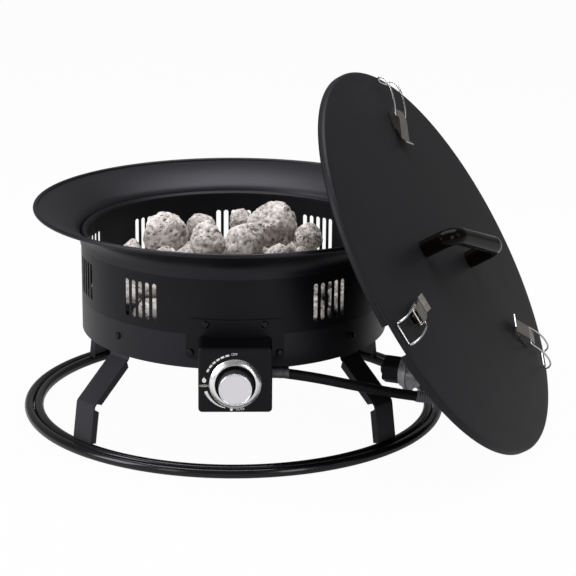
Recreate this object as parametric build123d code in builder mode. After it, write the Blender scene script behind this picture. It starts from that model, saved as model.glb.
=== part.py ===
"""Portable propane fire pit with its hose and regulator, and its lid leaning on the rim."""
import os
from math import asin, cos, degrees, hypot, pi, radians, sin, sqrt, tan

from build123d import *

os.makedirs("parts", exist_ok=True)

# Overall sizes and fits
ring_outer_radius = 285.0
drum_radius = 204.5
rim_radius = 267.0
rim_height = 281.5
sheet = 1.2
nest_gap = 0.2
seat_gap = 0.3
hole_gap = 0.1

# Stand
ring_tube = 12.7
leg_width = 35.0
leg_sheet = 2.0
leg_flange = 8.0
flange_notch = 4.0
leg_spread = 47.3
leg_azimuths = {
    "leg_front_right": leg_spread - 90,
    "leg_front_left": -leg_spread - 90,
    "leg_rear_right": 90 - leg_spread,
    "leg_rear_left": 90 + leg_spread,
}
leg_bend_drop = 4.0
leg_round = 6.0
leg_bend_height = 62.0
leg_foot_lean = 7.0
leg_screw_height = 141.0
screw_shank = 2.0
screw_head = 4.6
screw_dome = 2.6
screw_spare = 3.0

# Drum
skirt_bottom = 117.0
seam_height = 161.5
joggle_depth = 12.0
pan_ledge = 12.0
pan_edge = 6.0
drum_top = 252.0
top_roll = 4.0
collar_bottom = 234.5
flare_start = 241.0
flare_turn_out = 9.0
flare_turn_up = 17.4
rim_roll = 3.0
vent_groups = 10
vent_slots = 5
vent_slot_width = 6.5
vent_slot_length = 49.0
vent_pitch = 10.8
vent_height = 197.0

# Burner
burner_radius = 100.0
burner_tube = 9.0
burner_stand = 9.0
saddle_length = 22.0
saddle_width = 14.0
mixer_radius = 9.0
mixer_bore = 7.0
mixer_height = 131.0
mixer_inlet = -(burner_radius + 52.0)
mixer_bend = 18.0
pipe_radius = 4.0
jet_radius = 6.0
jet_length = 14.0
jet_tip = 5.0
insulator_radius = 4.0
electrode_radius = 1.0
electrode_place = (-30.0, -(burner_radius + 18.0))
electrode_below = 4.0
electrode_above = 8.0
insulator_bottom = 145.0
insulator_length = 30.0
shoulder_width = 3.0
shoulder_height = 4.0
lead_radius = 1.25

# Control box
box_width = 92.0
box_bottom = 75.5
box_top = 160.5
box_front = drum_radius + 44.5
box_overlap = 12.0
box_round = 5.0
box_wall = 1.5
flange_width = 124.0
flange_bottom = 129.0
flange_top = 182.5
flange_corner = 8.0
box_screws = [(-37.0, 176.0), (37.0, 176.0), (-56.0, 138.0), (56.0, 138.0)]
knob_height = 113.0
knob_radius = 21.5
knob_depth = 15.0
knob_push = 4.0
knob_lift = 0.6
knob_taper = 2
knob_cap_radius = 20.6
knob_cap_depth = 2.6
cap_round = 1.2
cap_border = 2.2
cap_recess = 0.5
bezel_radius = 31.0
bezel_bore = 23.4
bezel_depth = 4.0
bezel_lip = 3.5
collar_radius = 9.0
collar_gap = 2.0
stem_radius = 4.0
stem_reach = 10.0
run_fit = 0.05
valve_size = (34.0, 26.0, 34.0)
valve_front = 12.0 - box_front
bore_spare = 2.0
body_round = 4.0
fitting_radius = 7.5
fitting_reach = 54.0
inlet_height = 119.0
inlet_depth = -(drum_radius + 15.5)

# Hose and regulator, the hose points chosen along the run in the photograph and its hidden turn
hose_radius = 6.5
ferrule_wall = 1.2
ferrule_length = 24.0
regulator_radius = 29.0
port_place = Vector(261.0, 0.0, ring_tube + regulator_radius)
port_wall = 2.0
regulator_turn = -25.0
outlet_way = Vector(cos(radians(regulator_turn)), sin(radians(regulator_turn)), 0)
outlet_reach = 45.0
hose_points = [
    (fitting_reach, inlet_depth, inlet_height),
    (92.0, inlet_depth, inlet_height),
    (150.0, -211.0, 103.0),
    (218.4, -196.3, 81.5),
    (309.9, -186.7, 66.0),
    (351.5, -162.7, 44.0),
    (373.1, -122.1, 32.0),
    (369.9, -76.2, 32.0),
    port_place + outlet_way * (outlet_reach + 46.0),
    port_place + outlet_way * outlet_reach,
]
regulator_depth = 14.0
regulator_flange = 2.0
disc_set = 21.3
cover_rise = 8.7
cover_taper = 25
nipple_radius = 9.0
nipple_bore = 3.0
nipple_spare = 6.0
nut_radius = 19.5
nut_length = 24.0
nut_lobes = 6
nut_lobe = 5.0
nut_valley = 2.0

# Lid, leaning with its skirt on the floor and its underside on the rim
lid_radius = 269.5
lid_sheet = 1.5
lid_skirt = 9.5
lid_dome = 6.7
lid_corner = 4.0
lid_lean = 31.0
lid_azimuth = -20.6
lid_side_shift = -7.0
handle_span = 140.0
handle_radius = 11.5
handle_rise = 43.0
handle_bend = 17.0
handle_turn = -22.0
handle_shift = (4.5, 1.4)
handle_screw = 2.5
handle_screw_head = 5.0
handle_screw_rise = 3.0

# Latches
latch_angles = [67, 187, 307]
latch_inset = 61.5
latch_radius = lid_radius - latch_inset
latch_width = 18.0
latch_metal = 1.2
latch_pin_radius = 1.5
latch_pin_rise = 8.0
ear_radius = 3.2
base_inner = -24.0
lever_length = 47.0
lever_tip = 8.0
lever_heel = 14.0
lever_low = 5.0
lever_lift = 9.0
lever_skirt = 2.2
lever_eye = 0.9
lever_gap = 1.0
bail_wire = 1.1
bail_seat = (-8.0, 10.4)
bail_rise = 16.5
bail_reach = 59.0
bail_drop = 15.0
bail_half_width = 15.5
bail_neck = 1.5
bail_crest = 4.0
bail_shoulder = 30.0
bail_hook = 2.0
bail_fall = 1.0
bail_corner = 4.5
bail_bends = [2.5, 8.0, 26.0, 7.0, 3.5]
rivet_places = [(-20.0, 0.0), (-11.0, 0.0)]
rivet_radius = 2.0
rivet_lip = 1.2
rivet_head = 1.0
notch_width = 40.0
notch_depth = 7.0

# Lava rocks: along the wall, inside the burner and on the burner, then the heap as (x, y, radius, top)
wall_rocks = {"count": 16, "place": drum_radius - 48.5, "radius": 29.0, "turn": 0.0}
core_rocks = {"count": 4, "place": 48.0, "radius": 27.0, "turn": 45.0}
burner_rocks = {"count": 10, "place": burner_radius, "radius": 28.0, "turn": 18.0}
wall_rock_height = 36.0
burner_rock_height = 30.0
heap_rocks = [
    (-93.0, 0.0, 29.0, 266.0),
    (-35.0, -30.0, 24.0, 265.0),
    (14.0, -48.0, 24.5, 270.0),
    (52.0, 40.0, 31.0, 272.0),
    (99.0, 20.0, 19.0, 249.0),
    (-46.0, 50.0, 21.0, 252.0),
    (9.0, 90.0, 15.0, 251.0),
    (55.0, -72.0, 16.0, 245.0),
    (-66.0, -74.0, 17.0, 242.0),
    (88.0, -44.0, 9.0, 234.0),
    (0.0, -112.0, 26.0, 238.0),
    (-92.0, -52.0, 16.0, 236.0),
]
wall_heap_rock = (-137.0, -8.0, 13.0, 235.0)
rock_sides = 7
rock_foot = 0.6
rock_turn = 23.0
rock_spread = 0.05


def save(builder, name):
    builder.part.label = name
    export_step(builder.part, f"parts/{name}.step")


def outward(azimuth, radius, height):
    """Plane whose normal points away from the pit's axis and whose Y points up."""
    c, s = cos(radians(azimuth)), sin(radians(azimuth))
    return Plane(origin=(radius * c, radius * s, height), x_dir=(-s, c, 0), z_dir=(c, s, 0))


def upright(azimuth):
    """Plane through the pit's axis, its X pointing out along the azimuth and its Y up."""
    c, s = cos(radians(azimuth)), sin(radians(azimuth))
    return Plane(origin=(0, 0, 0), x_dir=(c, s, 0), z_dir=(s, -c, 0))


def facing_front(depth, x=0.0, height=knob_height):
    """Plane at a distance in front of the axis, its normal towards the user."""
    return Plane(origin=(x, -depth, height), x_dir=(1, 0, 0), z_dir=(0, -1, 0))


def on_plane(plane, x, y, z):
    """Point of a plane's own frame in the pit's frame."""
    return plane.origin + plane.x_dir * x + plane.y_dir * y + plane.z_dir * z


def bend_radii(points):
    """Largest even bends that the runs of a route allow."""
    radii = []
    for before, here, after in zip(points, points[1:], points[2:]):
        first = Vector(*here) - Vector(*before)
        second = Vector(*after) - Vector(*here)
        half_turn = radians(first.get_angle(second)) / 2
        radii.append(0.45 * min(first.length, second.length) / tan(half_turn))
    return radii


def screw(plane, shank_length):
    """Pan head screw, its head standing on the plane and its shank going in."""
    with BuildPart(plane) as made:
        Cylinder(screw_head, screw_dome, align=(Align.CENTER, Align.CENTER, Align.MIN))
        fillet(made.edges().sort_by(Axis(plane.origin, plane.z_dir))[-1], screw_dome * 0.7)
        Cylinder(screw_shank, shank_length, align=(Align.CENTER, Align.CENTER, Align.MAX))
    return made.part


# Base rings: two tubes side by side
ring_middle = ring_outer_radius - ring_tube / 2
inner_ring_middle = ring_middle - ring_tube - nest_gap
with BuildPart() as base_ring_outer:
    with Locations((0, 0, ring_tube / 2)):
        Torus(ring_middle, ring_tube / 2)
save(base_ring_outer, "base_ring_outer")

with BuildPart() as base_ring_inner:
    with Locations((0, 0, ring_tube / 2)):
        Torus(inner_ring_middle, ring_tube / 2)
save(base_ring_inner, "base_ring_inner")

# Legs: a tab inside the skirt, a slanting run and a foot that stands on the inner ring
skirt_inside = drum_radius - sheet
tab_face = sqrt((skirt_inside - nest_gap) ** 2 - (leg_width / 2) ** 2)
tab_line = tab_face - leg_sheet / 2
joggle_bottom = seam_height - joggle_depth
leg_line = [
    (tab_line, joggle_bottom - seat_gap),
    (tab_line, skirt_bottom - leg_bend_drop),
    (inner_ring_middle - leg_foot_lean, leg_bend_height),
    (inner_ring_middle, ring_tube + seat_gap),
]


def flange_outline(start, end, start_notch, end_notch):
    """Side wall along one run of a leg, its inner corners notched where the leg bends."""
    along = (Vector(*end) - Vector(*start)).normalized()
    inward = Vector(along.Y, -along.X)
    deep = inward * leg_flange
    first = Vector(*start) + along * start_notch
    last = Vector(*end) - along * end_notch
    return [first, last, last + deep - along * end_notch, first + deep + along * start_notch]


for leg_name, leg_azimuth in leg_azimuths.items():
    leg_plane = upright(leg_azimuth)
    with BuildPart() as leg:
        with BuildSketch(leg_plane):
            with BuildLine():
                web = FilletPolyline(*leg_line, radius=leg_round)
            trace(web, leg_sheet)
        extrude(amount=leg_width / 2, both=True)
        for side in (-1, 1):
            with BuildSketch(leg_plane.offset(side * (leg_width - leg_sheet) / 2)):
                for start, end, notches in (
                    (leg_line[1], leg_line[2], (flange_notch, flange_notch)),
                    (leg_line[2], leg_line[3], (flange_notch, 0.0)),
                ):
                    with BuildLine():
                        Polyline(*flange_outline(start, end, *notches), close=True)
                    make_face()
            extrude(amount=leg_sheet / 2, both=True)
        with BuildSketch(outward(leg_azimuth, tab_face, leg_screw_height)):
            Circle(screw_shank + hole_gap)
        extrude(amount=-2 * leg_sheet, both=True, mode=Mode.SUBTRACT)
    save(leg, leg_name)

with BuildPart() as leg_screws:
    for leg_azimuth in leg_azimuths.values():
        screw_seat = outward(leg_azimuth, drum_radius + hole_gap, leg_screw_height)
        add(screw(screw_seat, sheet + leg_sheet + screw_spare))
save(leg_screws, "leg_screws")

# Control box screws stand on the curved flange
flange_inside = drum_radius + nest_gap
flange_outside = flange_inside + box_wall


def box_screw_plane(x, height):
    return outward(-90 + degrees(asin(x / flange_outside)), flange_outside + hole_gap, height)


# Lower skirt, with holes for the leg screws and a window for the valve's pipe
window_width = 76.0
window_bottom = 121.0
with BuildPart() as lower_skirt:
    with BuildSketch(Plane.XZ):
        with BuildLine():
            Polyline(
                (skirt_inside, skirt_bottom),
                (drum_radius, skirt_bottom),
                (drum_radius, seam_height),
                (skirt_inside, seam_height),
                close=True,
            )
        make_face()
    revolve(axis=Axis.Z)
    for leg_azimuth in leg_azimuths.values():
        with BuildSketch(outward(leg_azimuth, drum_radius, leg_screw_height)):
            Circle(screw_shank + hole_gap)
        extrude(amount=3 * sheet, both=True, mode=Mode.SUBTRACT)
    for x, height in box_screws[2:]:
        with BuildSketch(box_screw_plane(x, height)):
            Circle(screw_shank + hole_gap)
        extrude(amount=6 * sheet, both=True, mode=Mode.SUBTRACT)
    with BuildSketch(facing_front(drum_radius, 0.0, window_bottom)):
        Rectangle(window_width, seam_height, align=(Align.CENTER, Align.MIN))
    extrude(amount=box_overlap, both=True, mode=Mode.SUBTRACT)
save(lower_skirt, "lower_skirt")

# Drum: joggled into the skirt below, rolled in at the top, with the pan's ledge and the vents
joggle_outside = skirt_inside - nest_gap
joggle_inside = joggle_outside - sheet
joggle_top = seam_height + nest_gap
drum_inside = drum_radius - sheet
vent_step = 360 / vent_groups
with BuildPart() as drum_shell:
    with BuildSketch(Plane.XZ):
        with BuildLine():
            Polyline(
                (drum_radius - top_roll, drum_top),
                (drum_radius - 2 * top_roll, drum_top - top_roll),
                (drum_radius - 2 * top_roll, drum_top - 2 * top_roll),
                (drum_radius - 2 * top_roll + sheet, drum_top - 2 * top_roll),
                (drum_radius - 2 * top_roll + sheet, drum_top - top_roll),
                (drum_radius - top_roll, drum_top - sheet),
                (drum_inside, drum_top - top_roll),
                (drum_inside, joggle_top + sheet),
                (joggle_inside, joggle_top + sheet),
                (joggle_inside, joggle_bottom + sheet),
                (joggle_inside - pan_ledge, joggle_bottom + sheet),
                (joggle_inside - pan_ledge, joggle_bottom),
                (joggle_outside, joggle_bottom),
                (joggle_outside, joggle_top),
                (drum_radius, joggle_top),
                (drum_radius, drum_top - top_roll),
                close=True,
            )
        make_face()
    revolve(axis=Axis.Z)
    fillet(drum_shell.edges().group_by(Axis.Z)[-1], top_roll * 0.6)
    for group in range(1, vent_groups):
        with BuildSketch(outward(-90 + group * vent_step, drum_radius, vent_height)):
            with GridLocations(vent_pitch, 0, vent_slots, 1):
                SlotOverall(vent_slot_length, vent_slot_width, rotation=90)
        extrude(amount=6 * sheet, both=True, mode=Mode.SUBTRACT)
    for x, height in box_screws[:2]:
        with BuildSketch(box_screw_plane(x, height)):
            Circle(screw_shank + hole_gap)
        extrude(amount=6 * sheet, both=True, mode=Mode.SUBTRACT)
save(drum_shell, "drum_shell")

# Flared rim: a collar over the drum's top, a trumpet flare and a rolled edge
collar_line = drum_radius + nest_gap + sheet / 2
rim_line = rim_radius - rim_roll
with BuildPart() as flared_rim:
    with BuildSketch(Plane.XZ):
        with BuildLine() as flare:
            collar = Line((collar_line, collar_bottom), (collar_line, flare_start))
            throat = TangentArc(
                (collar_line, flare_start),
                (collar_line + flare_turn_out, flare_start + flare_turn_up),
                tangent=(0, 1),
            )
            TangentArc(throat @ 1, (rim_line, rim_height), tangent=throat % 1)
        trace(line_width=sheet)
        with Locations((rim_line, rim_height)):
            Circle(rim_roll)
    revolve(axis=Axis.Z)
save(flared_rim, "flared_rim")

# Fire pan on the drum's ledge, with holes for the mixer and the electrode
pan_bottom = joggle_bottom + sheet
pan_top = pan_bottom + sheet
pan_radius = joggle_inside - seat_gap
with BuildPart() as fire_pan:
    with BuildSketch(Plane.XZ):
        with BuildLine():
            Polyline(
                (0, pan_bottom),
                (pan_radius, pan_bottom),
                (pan_radius, pan_bottom + pan_edge),
                (pan_radius - sheet, pan_bottom + pan_edge),
                (pan_radius - sheet, pan_top),
                (0, pan_top),
                close=True,
            )
        make_face()
    revolve(axis=Axis.Z)
    with BuildSketch(Plane.XY.offset(pan_bottom)):
        with Locations((0, -burner_radius)):
            Circle(mixer_radius + seat_gap)
        with Locations(electrode_place):
            Circle(insulator_radius + hole_gap)
    extrude(amount=2 * sheet, both=True, mode=Mode.SUBTRACT)
save(fire_pan, "fire_pan")

# Burner ring on three saddles
burner_height = pan_top + burner_stand + burner_tube
with BuildPart() as burner_ring:
    with Locations((0, 0, burner_height)):
        Torus(burner_radius, burner_tube)
save(burner_ring, "burner_ring")

with BuildPart() as burner_brackets:
    with BuildSketch(Plane.XY.offset(pan_top)):
        with PolarLocations(burner_radius, 3, start_angle=90):
            Rectangle(saddle_length, saddle_width)
    extrude(amount=burner_stand + burner_tube)
    with Locations((0, 0, burner_height)):
        Torus(burner_radius, burner_tube + nest_gap, mode=Mode.SUBTRACT)
save(burner_brackets, "burner_brackets")

# Mixer tube from the gas jet to the underside of the ring
mixer_top = burner_height - burner_tube + 0.5
mixer_route = [
    (0, mixer_inlet, mixer_height),
    (0, -burner_radius, mixer_height),
    (0, -burner_radius, mixer_top),
]
with BuildPart() as mixer_tube:
    with BuildLine() as mixer_path:
        FilletPolyline(*mixer_route, radius=mixer_bend)
    with BuildSketch(Plane(origin=mixer_route[0], z_dir=(0, 1, 0))):
        Circle(mixer_radius)
        Circle(mixer_bore, mode=Mode.SUBTRACT)
    sweep()
    with Locations((0, 0, burner_height)):
        Torus(burner_radius, burner_tube + nest_gap, mode=Mode.SUBTRACT)
save(mixer_tube, "mixer_tube")

# Valve body with its stem bore and inlet
valve_back = valve_front + valve_size[1]
stem_bore_depth = stem_reach + knob_push + bore_spare
with BuildPart() as valve_body:
    with Locations((0, (valve_front + valve_back) / 2, (mixer_height + knob_height) / 2)):
        Box(valve_size[0], valve_size[1], valve_size[2] + mixer_height - knob_height)
    fillet(valve_body.edges().filter_by(Axis.Y), body_round)
    with BuildSketch(facing_front(-valve_front)):
        Circle(stem_radius + run_fit)
    extrude(amount=-stem_bore_depth, mode=Mode.SUBTRACT)
save(valve_body, "valve_body")

# Gas pipe and jet between the valve and the mixer
jet_nose = mixer_inlet + jet_tip - 1.0
jet_back = jet_nose - jet_length
with BuildPart() as gas_supply_pipe:
    with BuildSketch(Plane.XZ.offset(-valve_back)):
        with Locations((0, mixer_height)):
            Circle(pipe_radius)
    extrude(amount=valve_back - jet_back)
save(gas_supply_pipe, "gas_supply_pipe")

with BuildPart() as gas_jet:
    with BuildSketch(Plane.XZ.offset(-jet_back)):
        with Locations((0, mixer_height)):
            RegularPolygon(jet_radius, 6)
    extrude(amount=-(jet_length - jet_tip))
    with BuildSketch(Plane.XZ.offset(-jet_back)):
        with Locations((0, mixer_height)):
            Circle(pipe_radius)
    extrude(amount=-jet_length)
save(gas_jet, "gas_jet")

# Spark electrode in its ceramic, standing through the pan
electrode_x, electrode_y = electrode_place
with BuildPart() as electrode_insulator:
    with BuildSketch(Plane.XY.offset(insulator_bottom)):
        with Locations(electrode_place):
            Circle(insulator_radius)
    extrude(amount=insulator_length)
    with BuildSketch(Plane.XY.offset(pan_top)):
        with Locations(electrode_place):
            Circle(insulator_radius + shoulder_width)
    extrude(amount=shoulder_height)
    with BuildSketch(Plane.XY.offset(insulator_bottom)):
        with Locations(electrode_place):
            Circle(electrode_radius + run_fit)
    extrude(amount=insulator_length, mode=Mode.SUBTRACT)
save(electrode_insulator, "electrode_insulator")

electrode_bottom = insulator_bottom - electrode_below
electrode_top = insulator_bottom + insulator_length + electrode_above
with BuildPart() as spark_electrode:
    with BuildSketch(Plane.XY.offset(electrode_bottom)):
        with Locations(electrode_place):
            Circle(electrode_radius)
    extrude(amount=electrode_top - electrode_bottom)
save(spark_electrode, "spark_electrode")

# Igniter in the control box and its lead to the electrode
igniter_size = (20.0, 22.0, 40.0)
igniter_place = (-31.0, 25.0 - box_front, 112.0)
with BuildPart() as igniter_module:
    with Locations(igniter_place):
        Box(*igniter_size)
    fillet(igniter_module.edges().filter_by(Axis.Z), body_round)
save(igniter_module, "igniter_module")

lead_drop = 28.0
lead_height = electrode_bottom - lead_drop
lead_points = [
    (igniter_place[0], igniter_place[1] + igniter_size[1] / 2, 124.0),
    (-31.0, -184.0, 124.0),
    (-30.0, -150.0, lead_height + 2.0),
    (electrode_x, electrode_y, lead_height),
    (electrode_x, electrode_y, electrode_bottom),
]
lead_bends = bend_radii(lead_points)
with BuildPart() as ignition_lead:
    with BuildLine() as lead_path:
        FilletPolyline(*lead_points, radius=lead_bends)
    with BuildSketch(Plane(origin=lead_points[0], z_dir=lead_path.line % 0)):
        Circle(lead_radius)
    sweep()
save(ignition_lead, "ignition_lead")

# Control box cover: a hollow box with a curved flange on the drum
box_middle = (box_bottom + box_top) / 2
box_height = box_top - box_bottom
flange_middle = (flange_bottom + flange_top) / 2
box_back = drum_radius - box_overlap
box_cut = box_back - 20.0
with BuildPart() as control_box_cover:
    with BuildSketch(Plane.XY.offset(flange_bottom)):
        Circle(flange_outside)
        Circle(flange_inside, mode=Mode.SUBTRACT)
    extrude(amount=flange_top - flange_bottom)
    with BuildSketch(facing_front(box_cut, 0.0, flange_middle)):
        RectangleRounded(flange_width, flange_top - flange_bottom, flange_corner)
    extrude(amount=box_front - box_cut, mode=Mode.INTERSECT)
    with BuildSketch(facing_front(box_back, 0.0, box_middle)):
        RectangleRounded(box_width, box_height, box_round)
    extrude(amount=box_front - box_back)
    fillet(control_box_cover.faces().sort_by(Axis.Y)[0].edges(), box_round * 0.7)
    with BuildSketch(facing_front(box_cut, 0.0, box_middle)):
        RectangleRounded(box_width - 2 * box_wall, box_height - 2 * box_wall, box_round - box_wall)
    extrude(amount=box_front - box_wall - box_cut, mode=Mode.SUBTRACT)
    with BuildSketch(Plane.XY.offset(skirt_bottom - seat_gap)):
        Circle(flange_inside)
    extrude(amount=flange_top, mode=Mode.SUBTRACT)
    with BuildSketch(facing_front(box_front)):
        Circle(collar_radius + collar_gap)
    extrude(amount=-3 * box_wall, both=True, mode=Mode.SUBTRACT)
    with BuildSketch(Plane.YZ.offset(box_width / 2)):
        with Locations((inlet_depth, inlet_height)):
            Circle(fitting_radius + hole_gap)
    extrude(amount=3 * box_wall, both=True, mode=Mode.SUBTRACT)
    for x, height in box_screws:
        with BuildSketch(box_screw_plane(x, height)):
            Circle(screw_shank + hole_gap)
        extrude(amount=4 * box_wall, both=True, mode=Mode.SUBTRACT)
save(control_box_cover, "control_box_cover")

with BuildPart() as control_box_screws:
    for x, height in box_screws:
        add(screw(box_screw_plane(x, height), box_wall + sheet + screw_spare))
save(control_box_screws, "control_box_screws")

# Dished bezel round the knob
with BuildPart() as knob_bezel:
    with BuildSketch(facing_front(box_front)):
        Circle(bezel_radius)
    extrude(amount=bezel_depth)
    fillet(knob_bezel.faces().sort_by(Axis.Y)[0].edges(), bezel_depth * 0.6)
    with BuildSketch(facing_front(box_front + bezel_depth)):
        Circle(bezel_radius - bezel_lip)
    extrude(amount=-bezel_depth, taper=45, mode=Mode.SUBTRACT)
    with BuildSketch(facing_front(box_front)):
        Circle(bezel_bore)
    extrude(amount=bezel_depth, mode=Mode.SUBTRACT)
save(knob_bezel, "knob_bezel")

# Knob: a collar that pushes in, and a stem, grip and cap that turn in it
knob_base = box_front + knob_push + knob_lift
cap_base = knob_base + knob_depth
collar_wall = 3.0
with BuildPart() as push_collar:
    with BuildSketch(facing_front(knob_base - nest_gap)):
        Circle(collar_radius)
        Circle(stem_radius + run_fit, mode=Mode.SUBTRACT)
    extrude(amount=-(knob_push + collar_wall))
save(push_collar, "push_collar")

stem_front = knob_base + knob_depth * 0.6
with BuildPart() as valve_stem:
    with BuildSketch(facing_front(stem_front)):
        Circle(stem_radius)
    extrude(amount=-(stem_front + valve_front + stem_reach))
save(valve_stem, "valve_stem")

with BuildPart() as knob_body:
    with BuildSketch(facing_front(knob_base)):
        Circle(knob_radius)
    extrude(amount=knob_depth, taper=knob_taper)
    with BuildSketch(facing_front(knob_base)):
        Circle(stem_radius)
    extrude(amount=stem_front - knob_base, mode=Mode.SUBTRACT)
save(knob_body, "knob_body")

with BuildPart() as knob_cap:
    with BuildSketch(facing_front(cap_base)):
        Circle(knob_cap_radius)
    extrude(amount=knob_cap_depth)
    fillet(knob_cap.faces().sort_by(Axis.Y)[0].edges(), cap_round)
    with BuildSketch(facing_front(cap_base + knob_cap_depth)):
        Circle(knob_cap_radius - cap_border)
    extrude(amount=-cap_recess, mode=Mode.SUBTRACT)
save(knob_cap, "knob_cap")

# Inlet fitting through the box's side
fitting_start = valve_size[0] / 2
with BuildPart() as hose_inlet_fitting:
    with BuildSketch(Plane.YZ.offset(fitting_start)):
        with Locations((inlet_depth, inlet_height)):
            Circle(fitting_radius)
    extrude(amount=fitting_reach - fitting_start)
save(hose_inlet_fitting, "hose_inlet_fitting")

# Gas hose along its route
hose_bends = bend_radii(hose_points)
with BuildPart() as gas_hose:
    with BuildLine() as hose_path:
        FilletPolyline(*hose_points, radius=hose_bends)
    with BuildSketch(Plane(origin=hose_points[0], z_dir=hose_path.line % 0)):
        Circle(hose_radius)
    sweep()
save(gas_hose, "gas_hose")
hose_length = sum(edge.length for edge in hose_path.edges())
hose_volume = pi * hose_radius ** 2 * hose_length
print("hose length", round(hose_length, 1), "volume", round(gas_hose.part.volume), "of", round(hose_volume))

# Crimped sleeves on the hose's two ends
hose_start, hose_end = Vector(*hose_points[0]), Vector(*hose_points[-1])
start_run = (Vector(*hose_points[1]) - hose_start).normalized()
end_run = (Vector(*hose_points[-2]) - hose_end).normalized()
sleeves = [(hose_start, start_run, ferrule_length * 0.55), (hose_end, end_run, ferrule_length * 0.8)]
with BuildPart() as hose_ferrules:
    for start, along, length in sleeves:
        with BuildSketch(Plane(origin=start, z_dir=along)):
            Circle(hose_radius + hole_gap + ferrule_wall)
            Circle(hose_radius + hole_gap, mode=Mode.SUBTRACT)
        extrude(amount=length)
save(hose_ferrules, "hose_ferrules")

# Regulator: a round body across the gas way, its cover towards the nut and its outlet pipe towards the hose
inlet_way = outlet_way * -1
inlet_plane = Plane(origin=port_place, x_dir=(0, 0, 1), z_dir=inlet_way)
disc_plane = inlet_plane.offset(disc_set)
nut_seat = disc_set + regulator_flange + cover_rise
with BuildPart() as regulator_body:
    with BuildSketch(disc_plane):
        Circle(regulator_radius)
    extrude(amount=-regulator_flange)
    with BuildSketch(disc_plane.offset(-regulator_flange)):
        Circle(regulator_radius - 2 * regulator_flange)
    extrude(amount=-regulator_depth, taper=cover_taper)
    with BuildSketch(disc_plane):
        Circle(nipple_radius - port_wall)
    extrude(amount=-(disc_set + outlet_reach))
save(regulator_body, "regulator_body")

with BuildPart() as regulator_cover:
    with BuildSketch(disc_plane):
        Circle(regulator_radius)
    extrude(amount=regulator_flange)
    with BuildSketch(disc_plane.offset(regulator_flange)):
        Circle(regulator_radius - 2 * regulator_flange)
    extrude(amount=cover_rise, taper=cover_taper)
save(regulator_cover, "regulator_cover")

# Inlet nipple and the lobed nut that turns on it
nipple_length = nut_length + nipple_spare
with BuildPart() as regulator_inlet_nipple:
    with BuildSketch(inlet_plane.offset(nut_seat)):
        Circle(nipple_radius - port_wall)
    extrude(amount=nipple_length)
    with BuildSketch(inlet_plane.offset(nut_seat + nipple_length)):
        Circle(nipple_bore)
    extrude(amount=-nipple_length, mode=Mode.SUBTRACT)
save(regulator_inlet_nipple, "regulator_inlet_nipple")

with BuildPart() as coupling_nut:
    with BuildSketch(inlet_plane.offset(nut_seat + seat_gap)):
        Circle(nut_radius - nut_valley)
        with PolarLocations(nut_radius - nut_lobe, nut_lobes):
            Circle(nut_lobe)
        Circle(nipple_radius - port_wall + run_fit, mode=Mode.SUBTRACT)
    extrude(amount=nut_length)
save(coupling_nut, "coupling_nut")

# Lid: where it stands when its skirt is on the floor and its underside on the rolled rim
lean = radians(lid_lean)
lid_way = Vector(cos(radians(lid_azimuth)), sin(radians(lid_azimuth)), 0)
lid_normal = lid_way * cos(lean) + Vector(0, 0, sin(lean))
lid_across = Vector(-sin(radians(lid_azimuth)), cos(radians(lid_azimuth)), 0)
lid_upward = lid_normal.cross(lid_across)
lid_edge = lid_radius - lid_corner
dome_sphere = (lid_edge ** 2 + lid_dome ** 2) / (2 * lid_dome)


def dome_at(radius):
    """Height of the lid's top over its edge."""
    return sqrt(dome_sphere ** 2 - radius ** 2) - dome_sphere + lid_dome


lid_centre_height = lid_radius * cos(lean) + lid_skirt * sin(lean)
rim_support = rim_line * cos(lean) + rim_height * sin(lean) + rim_roll + seat_gap
lid_out = 0.0
for settle_step in range(8):
    contact_up = (lid_out - rim_line) * sin(lean) + (rim_height - lid_centre_height) * cos(lean)
    lid_rise = dome_at(hypot(contact_up, lid_side_shift)) - lid_sheet
    lid_out = (rim_support - lid_rise - lid_centre_height * sin(lean)) / cos(lean)
lid_centre = lid_way * lid_out + lid_across * lid_side_shift + Vector(0, 0, lid_centre_height)
lid_plane = Plane(origin=lid_centre, x_dir=lid_across, z_dir=lid_normal)
lid_section = Plane(origin=lid_centre, x_dir=lid_across, z_dir=lid_upward * -1)
lid_axis = Axis(lid_centre, lid_normal)
handle_plane = Plane(
    origin=lid_centre + lid_across * handle_shift[0] + lid_upward * handle_shift[1],
    x_dir=lid_across * cos(radians(handle_turn)) + lid_upward * sin(radians(handle_turn)),
    z_dir=lid_normal,
)

with BuildPart() as lid_plate:
    with BuildSketch(lid_section):
        with BuildLine():
            ThreePointArc((0, lid_dome), (lid_edge / 2, dome_at(lid_edge / 2)), (lid_edge, 0))
            RadiusArc((lid_edge, 0), (lid_radius, -lid_corner), lid_corner)
            Polyline(
                (lid_radius, -lid_corner),
                (lid_radius, -lid_skirt),
                (lid_radius - lid_sheet, -lid_skirt),
                (lid_radius - lid_sheet, -lid_corner),
                (lid_edge, -lid_sheet),
            )
            ThreePointArc(
                (lid_edge, -lid_sheet),
                (lid_edge / 2, dome_at(lid_edge / 2) - lid_sheet),
                (0, lid_dome - lid_sheet),
            )
            Line((0, lid_dome - lid_sheet), (0, lid_dome))
        make_face()
    revolve(axis=lid_axis)
    for angle in latch_angles:
        with BuildSketch(lid_plane.offset(-lid_skirt - 1)):
            with PolarLocations(lid_radius, 1, start_angle=angle):
                Rectangle(2 * notch_depth, notch_width)
        extrude(amount=lid_skirt + 2, mode=Mode.SUBTRACT)
    with BuildSketch(handle_plane):
        with Locations((-handle_span / 2, 0), (handle_span / 2, 0)):
            Circle(handle_screw + hole_gap)
    extrude(amount=2 * lid_dome, mode=Mode.SUBTRACT)
save(lid_plate, "lid_plate")

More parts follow.
